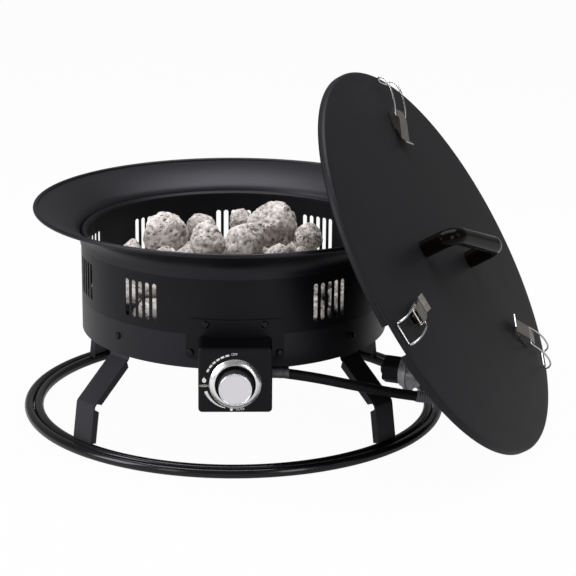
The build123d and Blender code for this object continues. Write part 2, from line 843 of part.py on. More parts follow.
# Handle: a round bar bent to a bridge, screwed on from below
handle_near = handle_span / 2 - handle_radius - hypot(*handle_shift)
handle_foot = dome_at(handle_near) + hole_gap
handle_top = lid_dome + handle_rise
handle_route = [
    on_plane(handle_plane, -handle_span / 2, 0, handle_foot),
    on_plane(handle_plane, -handle_span / 2, 0, handle_top),
    on_plane(handle_plane, handle_span / 2, 0, handle_top),
    on_plane(handle_plane, handle_span / 2, 0, handle_foot),
]
with BuildPart() as lid_handle:
    with BuildLine():
        FilletPolyline(*handle_route, radius=handle_bend)
    with BuildSketch(Plane(origin=handle_route[0], z_dir=lid_normal)):
        Circle(handle_radius)
    sweep()
    with BuildSketch(handle_plane.offset(handle_foot)):
        with Locations((-handle_span / 2, 0), (handle_span / 2, 0)):
            Circle(handle_screw + hole_gap)
    extrude(amount=handle_rise / 2, mode=Mode.SUBTRACT)
save(lid_handle, "lid_handle")

handle_far = handle_span / 2 + handle_screw_head + hypot(*handle_shift)
handle_screw_seat = dome_at(handle_far) - lid_sheet - hole_gap
with BuildPart() as handle_screws:
    with BuildSketch(handle_plane.offset(handle_screw_seat)):
        with Locations((-handle_span / 2, 0), (handle_span / 2, 0)):
            Circle(handle_screw_head)
    extrude(amount=-handle_screw_rise)
    with BuildSketch(handle_plane.offset(handle_screw_seat)):
        with Locations((-handle_span / 2, 0), (handle_span / 2, 0)):
            Circle(handle_screw)
    extrude(amount=handle_rise / 3)
save(handle_screws, "handle_screws")


# Latches: X runs out over the lid's edge, Z stands off its domed top
def latch_frame(angle):
    outward_way = lid_across * cos(radians(angle)) + lid_upward * sin(radians(angle))
    slope = asin(latch_radius / dome_sphere)
    origin = lid_centre + outward_way * latch_radius + lid_normal * dome_at(latch_radius)
    return Plane(
        origin=origin,
        x_dir=outward_way * cos(slope) - lid_normal * sin(slope),
        z_dir=lid_normal * cos(slope) + outward_way * sin(slope),
    )


def latch_side(frame, y):
    """Plane along the side of a latch, its Y standing off the lid."""
    return Plane(origin=on_plane(frame, 0, y, 0), x_dir=frame.x_dir, z_dir=frame.y_dir * -1)


ear_middle = latch_width / 2 - latch_metal / 2
lever_side = latch_width / 2 + lever_gap + latch_metal / 2
lever_half = lever_side + latch_metal / 2
lever_roof = latch_pin_rise + ear_radius + lever_gap
for number, angle in enumerate(latch_angles, start=1):
    frame = latch_frame(angle)
    with BuildPart() as latch_base:
        with BuildSketch(frame.offset(nest_gap)):
            with Locations(((base_inner + ear_radius) / 2, 0)):
                Rectangle(ear_radius - base_inner, latch_width)
            with Locations(*rivet_places):
                Circle(rivet_radius + hole_gap, mode=Mode.SUBTRACT)
        extrude(amount=latch_metal)
        for side in (-1, 1):
            with BuildSketch(latch_side(frame, side * ear_middle)):
                with Locations((0, (latch_pin_rise + nest_gap) / 2)):
                    Rectangle(2 * ear_radius, latch_pin_rise - nest_gap)
                with Locations((0, latch_pin_rise)):
                    Circle(ear_radius)
                    Circle(latch_pin_radius + hole_gap, mode=Mode.SUBTRACT)
            extrude(amount=latch_metal / 2, both=True)
    save(latch_base, f"latch_{number}_base")

    with BuildPart() as latch_lever:
        with BuildSketch(latch_side(frame, 0)):
            with BuildLine():
                roof = Polyline(
                    (0, lever_roof),
                    (-lever_heel, lever_roof),
                    (-lever_length + lever_tip, lever_low),
                    (-lever_length, lever_lift),
                )
            trace(roof, latch_metal)
        extrude(amount=lever_half, both=True)
        for side in (-1, 1):
            with BuildSketch(latch_side(frame, side * lever_side)):
                with BuildLine():
                    Polyline(
                        (0, lever_roof),
                        (-lever_heel, lever_roof),
                        (-lever_length + lever_tip, lever_low),
                        (-lever_heel, lever_skirt),
                        (-ear_radius / 2, lever_skirt),
                        (ear_radius, latch_pin_rise),
                        close=True,
                    )
                make_face()
                with Locations((0, latch_pin_rise)):
                    Circle(ear_radius + lever_eye)
                    Circle(latch_pin_radius + run_fit, mode=Mode.SUBTRACT)
                with Locations(bail_seat):
                    Circle(bail_wire + run_fit, mode=Mode.SUBTRACT)
            extrude(amount=latch_metal / 2, both=True)
    save(latch_lever, f"latch_{number}_lever")

    seat_x, seat_z = bail_seat
    bail_route = [
        (seat_x, lever_half - latch_metal, seat_z),
        (seat_x, bail_half_width - bail_neck, seat_z),
        (bail_crest, bail_half_width, bail_rise),
        (bail_shoulder, bail_half_width, bail_rise - bail_fall),
        (bail_reach, bail_half_width, bail_corner),
        (bail_reach - bail_hook, bail_half_width, -bail_drop),
    ]
    mirrored = [(x, -y, z) for x, y, z in reversed(bail_route)]
    bail_places = [on_plane(frame, *place) for place in bail_route + mirrored]
    with BuildPart() as latch_bail:
        with BuildLine():
            FilletPolyline(*bail_places, radius=bail_bends + bail_bends[::-1])
        with BuildSketch(Plane(origin=bail_places[0], z_dir=frame.y_dir)):
            Circle(bail_wire)
        sweep()
    save(latch_bail, f"latch_{number}_bail")

pin_half = lever_half + hole_gap
with BuildPart() as latch_pins:
    for angle in latch_angles:
        frame = latch_frame(angle)
        with BuildSketch(latch_side(frame, 0)):
            with Locations((0, latch_pin_rise)):
                Circle(latch_pin_radius)
        extrude(amount=pin_half, both=True)
save(latch_pins, "latch_pins")

with BuildPart() as latch_rivets:
    for angle in latch_angles:
        with BuildSketch(latch_frame(angle).offset(nest_gap)):
            with Locations(*rivet_places):
                Circle(rivet_radius)
        extrude(amount=latch_metal)
        with BuildSketch(latch_frame(angle).offset(nest_gap + latch_metal)):
            with Locations(*rivet_places):
                Circle(rivet_radius + rivet_lip)
        extrude(amount=rivet_head)
save(latch_rivets, "latch_rivets")


# Lava rocks: each is a lump with a flat foot and top, and lies on the pan or on another rock
def rock(x, y, foot, radius, height, turn):
    with BuildPart() as lump:
        for level, share in ((0.0, rock_foot), (0.45, 1.0), (1.0, rock_foot)):
            with BuildSketch(Plane.XY.offset(foot + height * level)):
                with Locations((x, y)):
                    RegularPolygon(radius * share, rock_sides, rotation=turn)
        loft(ruled=True)
    return lump.part


def rocks_round(ring, foot, height):
    """Uneven rocks round the axis."""
    for index in range(ring["count"]):
        angle = radians(ring["turn"] + 360 / ring["count"] * index)
        wide = ring["radius"] * (1 - rock_spread * sin(3.1 * index) ** 2)
        x, y = ring["place"] * cos(angle), ring["place"] * sin(angle)
        add(rock(x, y, foot, wide, height, rock_turn * index))


pan_foot = pan_top + nest_gap
burner_foot = burner_height + burner_tube + nest_gap
heap_foot = burner_foot + burner_rock_height + nest_gap
with BuildPart() as lava_rocks:
    rocks_round(wall_rocks, pan_foot, wall_rock_height)
    rocks_round(core_rocks, pan_foot, heap_foot - nest_gap - pan_foot)
    rocks_round(burner_rocks, burner_foot, burner_rock_height)
    for index, (x, y, radius, top) in enumerate(heap_rocks):
        add(rock(x, y, heap_foot, radius, top - heap_foot, rock_turn * index))
    x, y, radius, top = wall_heap_rock
    wall_foot = pan_foot + wall_rock_height + nest_gap
    add(rock(x, y, wall_foot, radius, top - wall_foot, rock_turn))
save(lava_rocks, "lava_rocks")
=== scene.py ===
"""A portable propane fire pit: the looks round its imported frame, in metres and in the frame's own axes."""
from math import asin, cos, pi, radians, sin, sqrt

import bmesh
import bpy
from mathutils import Matrix, Vector, noise


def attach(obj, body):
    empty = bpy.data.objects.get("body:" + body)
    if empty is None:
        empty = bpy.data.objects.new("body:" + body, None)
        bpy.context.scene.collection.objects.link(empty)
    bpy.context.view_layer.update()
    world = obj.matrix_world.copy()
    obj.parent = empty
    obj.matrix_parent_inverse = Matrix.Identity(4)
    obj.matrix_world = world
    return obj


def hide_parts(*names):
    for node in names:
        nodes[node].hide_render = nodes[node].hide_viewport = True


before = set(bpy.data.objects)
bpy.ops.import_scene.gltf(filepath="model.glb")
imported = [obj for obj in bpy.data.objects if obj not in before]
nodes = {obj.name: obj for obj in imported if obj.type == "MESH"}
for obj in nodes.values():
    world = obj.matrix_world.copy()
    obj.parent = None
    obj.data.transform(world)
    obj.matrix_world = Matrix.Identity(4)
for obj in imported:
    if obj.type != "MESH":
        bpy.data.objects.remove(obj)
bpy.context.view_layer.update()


# Base rings: two steel tubes bent to hoops and welded side by side, then powder coated in gloss black.
# The coat levels out as it melts, so it shows sharp lamp streaks with a faint orange peel.
def linear(code):
    """Linear colour of an sRGB hex value."""
    parts = [int(code[i:i + 2], 16) / 255 for i in (1, 3, 5)]
    return [c / 12.92 if c <= 0.04045 else ((c + 0.055) / 1.055) ** 2.4 for c in parts] + [1.0]


def add_node(tree, kind, inputs=None, **settings):
    """Adds a node with its settings; an input is a plain value or the socket that feeds it."""
    made = tree.nodes.new(kind)
    for name, value in settings.items():
        setattr(made, name, value)
    for name, value in (inputs or {}).items():
        if isinstance(value, bpy.types.NodeSocket):
            tree.links.new(value, made.inputs[name])
        else:
            made.inputs[name].default_value = value
    return made


def start_finish(name):
    """An empty material with its shader, and the object's own coordinates in metres."""
    made = bpy.data.materials.new(name)
    made.use_nodes = True
    tree = made.node_tree
    shader = tree.nodes["Principled BSDF"]
    place = add_node(tree, "ShaderNodeTexCoord").outputs["Object"]
    return made, tree, shader, place


def grain(size_mm):
    """Texture scale that gives a pattern of that size."""
    return 1000.0 / size_mm


def tone_and_gloss(tree, shader, pattern, dark, light, rough):
    """Colour and roughness that follow one noise pattern, over the range where most of its values lie."""
    low, high = 0.3, 0.7
    tone = add_node(tree, "ShaderNodeValToRGB", {"Fac": pattern})
    tone.color_ramp.elements[0].color, tone.color_ramp.elements[1].color = linear(dark), linear(light)
    tone.color_ramp.elements[0].position, tone.color_ramp.elements[1].position = low, high
    gloss = add_node(tree, "ShaderNodeMapRange", {
        "Value": pattern, "From Min": low, "From Max": high, "To Min": rough[0], "To Max": rough[1]})
    tree.links.new(tone.outputs["Color"], shader.inputs["Base Color"])
    tree.links.new(gloss.outputs["Result"], shader.inputs["Roughness"])


def coat_or_moulding(name, dark, light, rough, cloud_mm, peel_mm, peel_depth, coat=0.0, shine=0.32):
    """Paint, plastic, rubber or glaze: slow clouds in tone and gloss, and a fine peel in the surface."""
    peel_height, cool_shine, coat_rough = 0.0002, "#f3f0ff", 0.08
    made, tree, shader, place = start_finish(name)
    cloud = add_node(tree, "ShaderNodeTexNoise", {"Vector": place, "Scale": grain(cloud_mm), "Detail": 5.0})
    tone_and_gloss(tree, shader, cloud.outputs["Fac"], dark, light, rough)
    peel = add_node(tree, "ShaderNodeTexNoise", {"Vector": place, "Scale": grain(peel_mm), "Detail": 2.0})
    skin = add_node(tree, "ShaderNodeBump", {
        "Height": peel.outputs["Fac"], "Strength": peel_depth, "Distance": peel_height})
    tree.links.new(skin.outputs["Normal"], shader.inputs["Normal"])
    shader.inputs["Specular IOR Level"].default_value = shine
    shader.inputs["Specular Tint"].default_value = linear(cool_shine)
    shader.inputs["Coat Weight"].default_value = coat
    shader.inputs["Coat Roughness"].default_value = coat_rough
    return made


def dress(finish, *pieces):
    """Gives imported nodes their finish."""
    for piece in pieces:
        nodes[piece].data.materials.clear()
        nodes[piece].data.materials.append(finish)


ring_coat = coat_or_moulding(
    "gloss_black_powder_coat", "#070708", "#0c0c0d", rough=(0.2, 0.27), cloud_mm=60, peel_mm=1.6,
    peel_depth=0.10, coat=0.3)
dress(ring_coat, "base_ring_outer", "base_ring_inner")

# Legs: four channels folded from 2 mm steel sheet, with a tab screwed inside the skirt and a foot welded to
# the inner ring. Their satin black powder coat has a fine sandy grain that breaks up reflections.
leg_coat = coat_or_moulding(
    "satin_black_powder_coat", "#1b1b1e", "#222225", rough=(0.4, 0.5), cloud_mm=70, peel_mm=0.9,
    peel_depth=0.22, shine=0.45)
dress(leg_coat, "leg_front_left", "leg_front_right", "leg_rear_left", "leg_rear_right")

# Leg screws and control box screws: pan head steel screws blackened by oxide, driven in from outside.
# The oxide is oily and smooth, so each dome shows one small bright spot.
screw_black = coat_or_moulding(
    "black_oxide_steel", "#040405", "#08080a", rough=(0.05, 0.10), cloud_mm=6, peel_mm=0.5,
    peel_depth=0.08, shine=0.25)
dress(screw_black, "leg_screws", "control_box_screws")

# Bowl and control box cover: a rolled skirt and vented drum, a spun flared rim, a dished pan and a folded
# box, all of thin steel sheet. Their heat-proof satin black paint is even in colour and blurs each reflection
# to a soft band. The rim and skirt take a lighter, shinier copy of it, painted light for the light they
# catch, and smoke has dulled the pan.
bowl_paint = coat_or_moulding(
    "heat_proof_black_paint", "#08080b", "#0d0d10", rough=(0.36, 0.43), cloud_mm=120, peel_mm=0.8,
    peel_depth=0.12, shine=0.21)
dress(bowl_paint, "drum_shell", "control_box_cover")
# painted light: the same paint, lighter and shinier, on the rim and skirt
lit_rim_paint = coat_or_moulding(
    "heat_proof_black_paint_lit_copy", "#0a0a0d", "#0f0f12", rough=(0.38, 0.45), cloud_mm=140, peel_mm=0.8,
    peel_depth=0.12, shine=0.35)
dress(lit_rim_paint, "flared_rim", "lower_skirt")
pan_paint = coat_or_moulding(
    "smoked_black_paint", "#0c0c0c", "#171615", rough=(0.55, 0.75), cloud_mm=25, peel_mm=1.2, peel_depth=0.3)
dress(pan_paint, "fire_pan")


# Burner: stainless tube ring on three saddles, its mixer tube and the spark rod. Stainless steel drawn
# through a die keeps fine lines along the tube and a straw tint from heat.
def worked_metal(name, dark, light, rough, streak_mm, stretch, depth):
    """Bare metal with fine tool lines; stretch packs them closer along each axis."""
    mark_height = 0.0001
    made, tree, shader, place = start_finish(name)
    drawn = add_node(tree, "ShaderNodeMapping", {"Vector": place, "Scale": stretch})
    lines = add_node(tree, "ShaderNodeTexNoise", {
        "Vector": drawn.outputs["Vector"], "Scale": grain(streak_mm), "Detail": 4.0})
    tone_and_gloss(tree, shader, lines.outputs["Fac"], dark, light, rough)
    cut = add_node(tree, "ShaderNodeBump", {
        "Height": lines.outputs["Fac"], "Strength": depth, "Distance": mark_height})
    tree.links.new(cut.outputs["Normal"], shader.inputs["Normal"])
    shader.inputs["Metallic"].default_value = 1.0
    return made


burner_steel = worked_metal(
    "heat_tinted_stainless", "#8d8478", "#b3aca0", rough=(0.3, 0.42), streak_mm=3, stretch=(1, 1, 6),
    depth=0.2)
dress(burner_steel, "burner_ring", "burner_brackets", "mixer_tube", "spark_electrode")

# Gas train: jet, pipe, valve and stem of brass, turned from bar or drawn, and joined from the control box to
# the mixer tube. Bare brass shows fine turning marks and a warm yellow shine.
turned_brass = worked_metal(
    "turned_brass", "#a8853f", "#c9a65c", rough=(0.25, 0.36), streak_mm=0.8, stretch=(1, 4, 1), depth=0.25)
dress(turned_brass, "gas_jet", "gas_supply_pipe", "valve_body", "valve_stem")

# Spark electrode's insulator: a sleeve of white alumina round the spark rod, glazed and fired.
# The glaze is slightly cream, smooth and glossy.
glazed_alumina = coat_or_moulding(
    "glazed_alumina", "#d8d2c4", "#e8e4da", rough=(0.12, 0.2), cloud_mm=8, peel_mm=0.6, peel_depth=0.08,
    coat=0.4)
dress(glazed_alumina, "electrode_insulator")


# Lava rocks: loose lumps of grey volcanic rock, laid on the pan and heaped over the burner. Each is a broken
# block with its corners tumbled off, furrowed where the melt was drawn out, and full of gas pores that are up
# to about 3 mm wide.
def tumbled_rock(bag, place, size, turn, seed, fineness):
    """Adds one rock to the bag; the seed sets its form, in shares of the rock's half sizes."""
    flat_count, flat_depth, flat_spread, least_facing = 9, 0.80, 0.13, 0.2
    flat_share, round_share, round_size, round_wave = 0.66, 0.34, 0.98, 0.16
    hollow_depth, grit_depth, vein_stretch, most_tilt = 0.060, 0.024, 0.70, 0.35
    # each set of furrows: depth, closeness, the noise at which one starts, and its own shift
    furrows = ((0.150, 7.0, 0.12, 1.0), (0.125, 15.0, 0.16, 1.7))
    # the odd factors below only scatter the seed, so that no two rocks are alike
    shift = Vector((seed * 7.31, seed * 3.17, seed * 5.53))
    flats = []
    for k in range(flat_count):
        way = Vector((sin(seed * 2.1 + k * 2.4), cos(seed * 1.3 + k * 1.7), sin(seed * 0.7 + k * 3.1)))
        flats.append((way.normalized(), flat_depth + flat_spread * sin(seed * 1.9 + k * 2.2)))
    vein = Vector((cos(seed * 1.7), sin(seed * 1.7), 0.5 * sin(seed * 2.3))).normalized()
    spin = Matrix.Rotation(turn, 3, "Z") @ Matrix.Rotation(most_tilt * sin(seed * 4.1), 3, "X")
    lump = bmesh.new()
    bmesh.ops.create_icosphere(lump, subdivisions=fineness, radius=1.0)
    for vert in lump.verts:
        way = vert.co.normalized()
        reach = 1.0
        for flat, depth in flats:
            facing = way.dot(flat)
            if facing > least_facing:
                reach = min(reach, depth / facing)
        reach = flat_share * reach + round_share * (round_size + round_wave * noise.noise(way * 1.3 + shift))
        reach += hollow_depth * noise.fractal(way * 2.1 + shift, 1.0, 2.0, 3)
        reach += grit_depth * noise.fractal(way * 10.0 + shift, 0.8, 2.0, 3)
        drawn_out = way - vein * way.dot(vein) * vein_stretch
        for depth, closeness, start, own_shift in furrows:
            reach -= depth * max(0.0, noise.noise(drawn_out * closeness + shift * own_shift) - start)
        spot = spin @ (way * reach)
        vert.co = Vector((spot.x * size[0], spot.y * size[1], spot.z * size[2])) + place
    base = len(bag["verts"])
    bag["verts"] += [vert.co.copy() for vert in lump.verts]
    bag["faces"] += [[base + vert.index for vert in face.verts] for face in lump.faces]
    bag["shade"] += [0.5 + 0.5 * sin(seed * 12.9)] * len(lump.verts)
    lump.free()


pan_top, burner_top = 0.1519, 0.1791
bag = {"verts": [], "faces": [], "shade": []}
# each ring of rocks: first seed, how many, ring radius, half width, half height, foot and first angle
rock_rings = [
    (1, 16, 0.156, 0.0275, 0.0180, pan_top, 0.0), (17, 4, 0.048, 0.0260, 0.0285, pan_top, 45.0),
    (21, 10, 0.100, 0.0275, 0.0155, burner_top, 18.0),
    (31, 14, 0.130, 0.0215, 0.0160, burner_top - 0.014, 9.0),
    (61, 21, 0.169, 0.0205, 0.0165, pan_top, 4.0), (91, 7, 0.070, 0.0195, 0.0230, pan_top, 12.0),
    (111, 11, 0.112, 0.0195, 0.0170, burner_top - 0.004, 2.0)]
angle_jitter, radius_jitter, width_jitter = 6.0, 0.007, 0.13
depth_share, lift_share, turn_step = 0.94, 0.97, 0.7
for first_seed, count, ring_radius, half_width, half_height, foot, first_angle in rock_rings:
    for seed in range(first_seed, first_seed + count):
        angle = radians(first_angle + 360 / count * (seed - first_seed) + angle_jitter * sin(seed * 5.3))
        reach = ring_radius + radius_jitter * sin(seed * 2.9)
        swell = 1.0 + width_jitter * sin(seed * 3.7)
        centre = Vector((reach * cos(angle), reach * sin(angle), foot + half_height * lift_share))
        half_sizes = (half_width * swell, half_width * depth_share, half_height)
        tumbled_rock(bag, centre, half_sizes, seed * turn_step, seed, fineness=4)
# each rock of the heap on top: its centre and its half sizes
heap_rocks = [
    (-0.093, 0.000, 0.239, 0.031, 0.030, 0.030), (-0.035, -0.030, 0.238, 0.025, 0.024, 0.028),
    (0.014, -0.048, 0.241, 0.027, 0.025, 0.030), (0.052, 0.040, 0.241, 0.034, 0.033, 0.034),
    (0.099, 0.020, 0.230, 0.021, 0.021, 0.021), (-0.046, 0.050, 0.234, 0.023, 0.021, 0.020),
    (0.009, 0.090, 0.234, 0.016, 0.016, 0.018), (0.055, -0.072, 0.228, 0.018, 0.017, 0.018),
    (-0.066, -0.074, 0.226, 0.018, 0.017, 0.017), (0.088, -0.044, 0.222, 0.010, 0.010, 0.013),
    (0.000, -0.112, 0.224, 0.027, 0.026, 0.015), (-0.092, -0.052, 0.223, 0.017, 0.016, 0.014),
    (-0.137, -0.008, 0.212, 0.015, 0.014, 0.024)]
heap_first_seed = 45
for seed, (x, y, z, half_x, half_y, half_z) in enumerate(heap_rocks, start=heap_first_seed):
    tumbled_rock(bag, Vector((x, y, z)), (half_x, half_y, half_z), seed * turn_step, seed, fineness=5)


def new_piece(name, verts, faces, finish, body, smooth=True):
    """A mesh piece in the frame's axes that rides on a body."""
    mesh = bpy.data.meshes.new(name)
    mesh.from_pydata(verts, [], faces)
    mesh.validate()
    if smooth:
        mesh.shade_smooth()
    mesh.materials.append(finish)
    made = bpy.data.objects.new(name, mesh)
    bpy.context.scene.collection.objects.link(made)
    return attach(made, body)


# Rough lava has no gloss at all: mottled grey, with painted shade darkening its pores and the hollows of its
# furrows, while its edges keep the plain tone. The pattern is turned by each rock's own shade value, so that
# neighbours differ.
lava, tree, shader, place = start_finish("tumbled_lava_rock")
shade = add_node(tree, "ShaderNodeAttribute", attribute_name="shade")
turned = add_node(tree, "ShaderNodeMath", {0: shade.outputs["Fac"], 1: 2 * pi}, operation="MULTIPLY")
spun = add_node(tree, "ShaderNodeVectorRotate", {
    "Vector": place, "Axis": (0.5, 0.6, 0.4), "Angle": turned.outputs["Value"]})
drawn = add_node(tree, "ShaderNodeMapping", {"Vector": spun.outputs["Vector"], "Scale": (1.0, 1.0, 0.42)})
mottle_mm, crowd_mm = 9, 16
blotch = add_node(tree, "ShaderNodeTexNoise", {
    "Vector": drawn.outputs["Vector"], "Scale": grain(mottle_mm), "Detail": 9.0, "Roughness": 0.68})
tone = add_node(tree, "ShaderNodeValToRGB", {"Fac": blotch.outputs["Fac"]})
tone.color_ramp.elements[0].color, tone.color_ramp.elements[1].color = linear("#948b87"), linear("#ebe4e0")
tone.color_ramp.elements[0].position, tone.color_ramp.elements[1].position = 0.34, 0.62
crowd = add_node(tree, "ShaderNodeTexNoise", {"Vector": place, "Scale": grain(crowd_mm), "Detail": 2.0})
holes = 1.0
# each kind of pore: cell in mm, least and most radius as shares of the cell, and the painted shade of its
# floor, which also sets its depth
for pore_mm, least, most, pore_floor_shade in ((5.0, 0.06, 0.32, 0.1), (2.6, 0.04, 0.36, 0.4)):
    cells = add_node(tree, "ShaderNodeTexVoronoi", {
        "Vector": drawn.outputs["Vector"], "Scale": grain(pore_mm), "Randomness": 1.0})
    width = add_node(tree, "ShaderNodeMapRange", {
        "Value": crowd.outputs["Fac"], "From Min": 0.38, "From Max": 0.66, "To Min": least, "To Max": most})
    edge = add_node(tree, "ShaderNodeMath", {
        0: cells.outputs["Distance"], 1: width.outputs["Result"]}, operation="SUBTRACT")
    pit = add_node(tree, "ShaderNodeMapRange", {
        "Value": edge.outputs["Value"], "From Min": -0.06, "From Max": 0.08, "To Min": pore_floor_shade,
        "To Max": 1.0})
    holes = add_node(tree, "ShaderNodeMath", {
        0: holes, 1: pit.outputs["Result"]}, operation="MULTIPLY").outputs["Value"]
# painted shade: the pore floors are darkened towards #57504b
pore_shaded = add_node(tree, "ShaderNodeMix", {
    "Factor": holes, "A": linear("#57504b"), "B": tone.outputs["Color"]}, data_type="RGBA")
lift = add_node(tree, "ShaderNodeMapRange", {"Value": shade.outputs["Fac"], "To Min": 0.9, "To Max": 1.12})
tinted = add_node(tree, "ShaderNodeHueSaturation", {
    "Color": pore_shaded.outputs["Result"], "Saturation": 0.95, "Value": lift.outputs["Result"]})
# painted shade: where the surface is hollow (low pointiness) its colour is darkened towards #3d3733
relief = add_node(tree, "ShaderNodeNewGeometry")
crevice_shade = add_node(tree, "ShaderNodeMapRange", {
    "Value": relief.outputs["Pointiness"], "From Min": 0.43, "From Max": 0.51, "To Min": 0.0, "To Max": 1.0})
shaded = add_node(tree, "ShaderNodeMix", {
    "Factor": crevice_shade.outputs["Result"], "A": linear("#3d3733"), "B": tinted.outputs["Color"]}, data_type="RGBA")
pit_depth = 0.0018
pitted = add_node(tree, "ShaderNodeBump", {"Height": holes, "Strength": 0.7, "Distance": pit_depth})
gritty = add_node(tree, "ShaderNodeBump", {
    "Height": blotch.outputs["Fac"], "Strength": 0.55, "Distance": pit_depth,
    "Normal": pitted.outputs["Normal"]})
tree.links.new(shaded.outputs["Result"], shader.inputs["Base Color"])
tree.links.new(gritty.outputs["Normal"], shader.inputs["Normal"])
shader.inputs["Roughness"].default_value = 0.92
rocks = new_piece("lava_rock_heap", bag["verts"], bag["faces"], lava, "fire_pit")
rocks.data.attributes.new("shade", "FLOAT", "POINT").data.foreach_set("value", bag["shade"])
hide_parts("lava_rocks")

# Igniter and push collar: mouldings in black nylon, the one fixed in the control box and the other sliding in
# behind the knob. The mould's spark-eroded faces leave a fine even grain that dulls the shine.
moulded_nylon = coat_or_moulding(
    "moulded_black_nylon", "#0f0f10", "#161617", rough=(0.42, 0.55), cloud_mm=30, peel_mm=0.5, peel_depth=0.3)
dress(moulded_nylon, "igniter_module", "push_collar")

# Ignition lead: wire in a thick skin of silicone rubber, from the igniter to the spark rod.
# The rubber is dull and slightly dusty, with no sharp highlight.
lead_rubber = coat_or_moulding(
    "black_silicone_rubber", "#101011", "#1a1a1a", rough=(0.6, 0.75), cloud_mm=10, peel_mm=0.6,
    peel_depth=0.2)
dress(lead_rubber, "ignition_lead")

# Knob bezel: a dished ring pressed from steel, chromed and fixed to the box's front round the knob.
# A slight haze on the chrome softens what its slope mirrors to broad pale bands.
bright_chrome = worked_metal(
    "bright_chrome", "#ececee", "#f6f6f7", rough=(0.23, 0.29), streak_mm=4, stretch=(1, 1, 1), depth=0.03)
knob_height = 0.113
box_front = -0.249
bezel_outside, bezel_width, bezel_rise, bezel_crest = 0.0323, 0.0086, 0.0042, 0.8
bezel_steps, arch_steps = 160, 20
bezel_crease = radians(50)
verts, faces = [], []
for k in range(bezel_steps):
    turn = 2 * pi * k / bezel_steps
    for j in range(arch_steps + 1):
        inward = j / arch_steps
        rising = inward / bezel_crest if inward < bezel_crest else (1 - inward) / (1 - bezel_crest)
        reach, proud = bezel_outside - bezel_width * inward, bezel_rise * sin(pi / 2 * rising)
        verts.append((reach * cos(turn), box_front - proud, knob_height + reach * sin(turn)))
for k in range(bezel_steps):
    here, after = k * (arch_steps + 1), (k + 1) % bezel_steps * (arch_steps + 1)
    for j in range(arch_steps):
        faces.append((here + j, here + j + 1, after + j + 1, after + j))
    faces.append((here, after, after + arch_steps, here + arch_steps))
bezel = new_piece("bezel_ring", verts, faces, bright_chrome, "fire_pit")
bezel.data.set_sharp_from_angle(angle=bezel_crease)
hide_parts("knob_bezel")

# Knob: a brushed aluminium cap with a chromed rim, let into a phenolic grip that is moulded with fine
# straight ribs and pushed onto the valve's stem. The grip's black is painted lighter, a mid grey that stands
# in for the light its shaded recess lacks, and its half gloss picks out its ribs; the cap's brushing spreads
# the light evenly.
grip_back, grip_front = -0.2536, -0.2686
grip_radius, grip_taper, grip_chamfer = 0.0213, 0.0005, 0.0012
back_edge, front_edge = 0.0008, 0.001
rib_count, rib_height, rib_floor, grip_steps = 52, 0.0007, -0.4, 520
levels = [
    (grip_back, grip_radius - grip_chamfer), (grip_back - back_edge, grip_radius),
    (grip_front + front_edge, grip_radius - grip_taper),
    (grip_front, grip_radius - grip_taper - grip_chamfer)]
verts, faces = [], []
for depth, radius in levels:
    for k in range(grip_steps):
        angle = 2 * pi * k / grip_steps
        rib = rib_height * max(rib_floor, cos(rib_count * angle)) - rib_height
        verts.append(((radius + rib) * cos(angle), depth, knob_height + (radius + rib) * sin(angle)))
for level in range(len(levels) - 1):
    here, ahead = level * grip_steps, (level + 1) * grip_steps
    for k in range(grip_steps):
        after = (k + 1) % grip_steps
        faces.append((here + k, ahead + k, ahead + after, here + after))
faces.append(tuple(range(grip_steps)))
faces.append(tuple(reversed(range((len(levels) - 1) * grip_steps, len(levels) * grip_steps))))
# painted light: black phenolic coloured mid grey so that it shows in its shaded recess
lightened_phenolic = coat_or_moulding(
    "moulded_black_phenolic_painted_light", "#434247", "#4d4c51", rough=(0.3, 0.42), cloud_mm=20, peel_mm=0.6,
    peel_depth=0.15, shine=0.5)
grip = new_piece("knob_grip", verts, faces, lightened_phenolic, "knob", smooth=False)
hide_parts("knob_body")
satin_aluminium = worked_metal(
    "satin_aluminium", "#e4e2e8", "#f3f1f5", rough=(0.30, 0.40), streak_mm=1.2, stretch=(1, 1, 8), depth=0.12)
dress(satin_aluminium, "knob_cap")
rim_radius, rim_tube, rim_steps, rim_sides = 0.0196, 0.0010, 96, 12
rim_front = -0.2709
verts, faces = [], []
for k in range(rim_steps):
    turn = 2 * pi * k / rim_steps
    here, ahead = k * rim_sides, (k + 1) % rim_steps * rim_sides
    for side in range(rim_sides):
        tube_turn, after = 2 * pi * side / rim_sides, (side + 1) % rim_sides
        reach, proud = rim_radius + rim_tube * cos(tube_turn), rim_tube * sin(tube_turn)
        verts.append((reach * cos(turn), rim_front - proud, knob_height + reach * sin(turn)))
        faces.append((here + side, here + after, ahead + after, ahead + side))
new_piece("knob_cap_rim", verts, faces, bright_chrome, "knob")

# Printed scale round the knob: ink screen printed on the box's front, as dashes from off to high and a wedge
# from high to low, with a small flame at each end. The ink is a flat matt white.
white_ink = coat_or_moulding(
    "white_screen_ink", "#e9e9e6", "#f4f4f1", rough=(0.45, 0.55), cloud_mm=3, peel_mm=0.4, peel_depth=0.1)
ink_face = -0.24905
ink_depth = 0.00004


def ink_point(radius, angle):
    """A point of the scale, at a radius and an angle in degrees round the knob."""
    return (radius * cos(radians(angle)), ink_face, knob_height + radius * sin(radians(angle)))


def print_shape(name, outlines):
    """Flat printed shapes from their outlines on the box's front."""
    verts, faces = [], []
    for outline in outlines:
        base = len(verts)
        verts += outline
        faces.append(tuple(range(base, base + len(outline))))
    made = new_piece(name, verts, faces, white_ink, "fire_pit", smooth=False)
    thick = made.modifiers.new("ink", "SOLIDIFY")
    thick.thickness = ink_depth
    thick.offset = 0.0


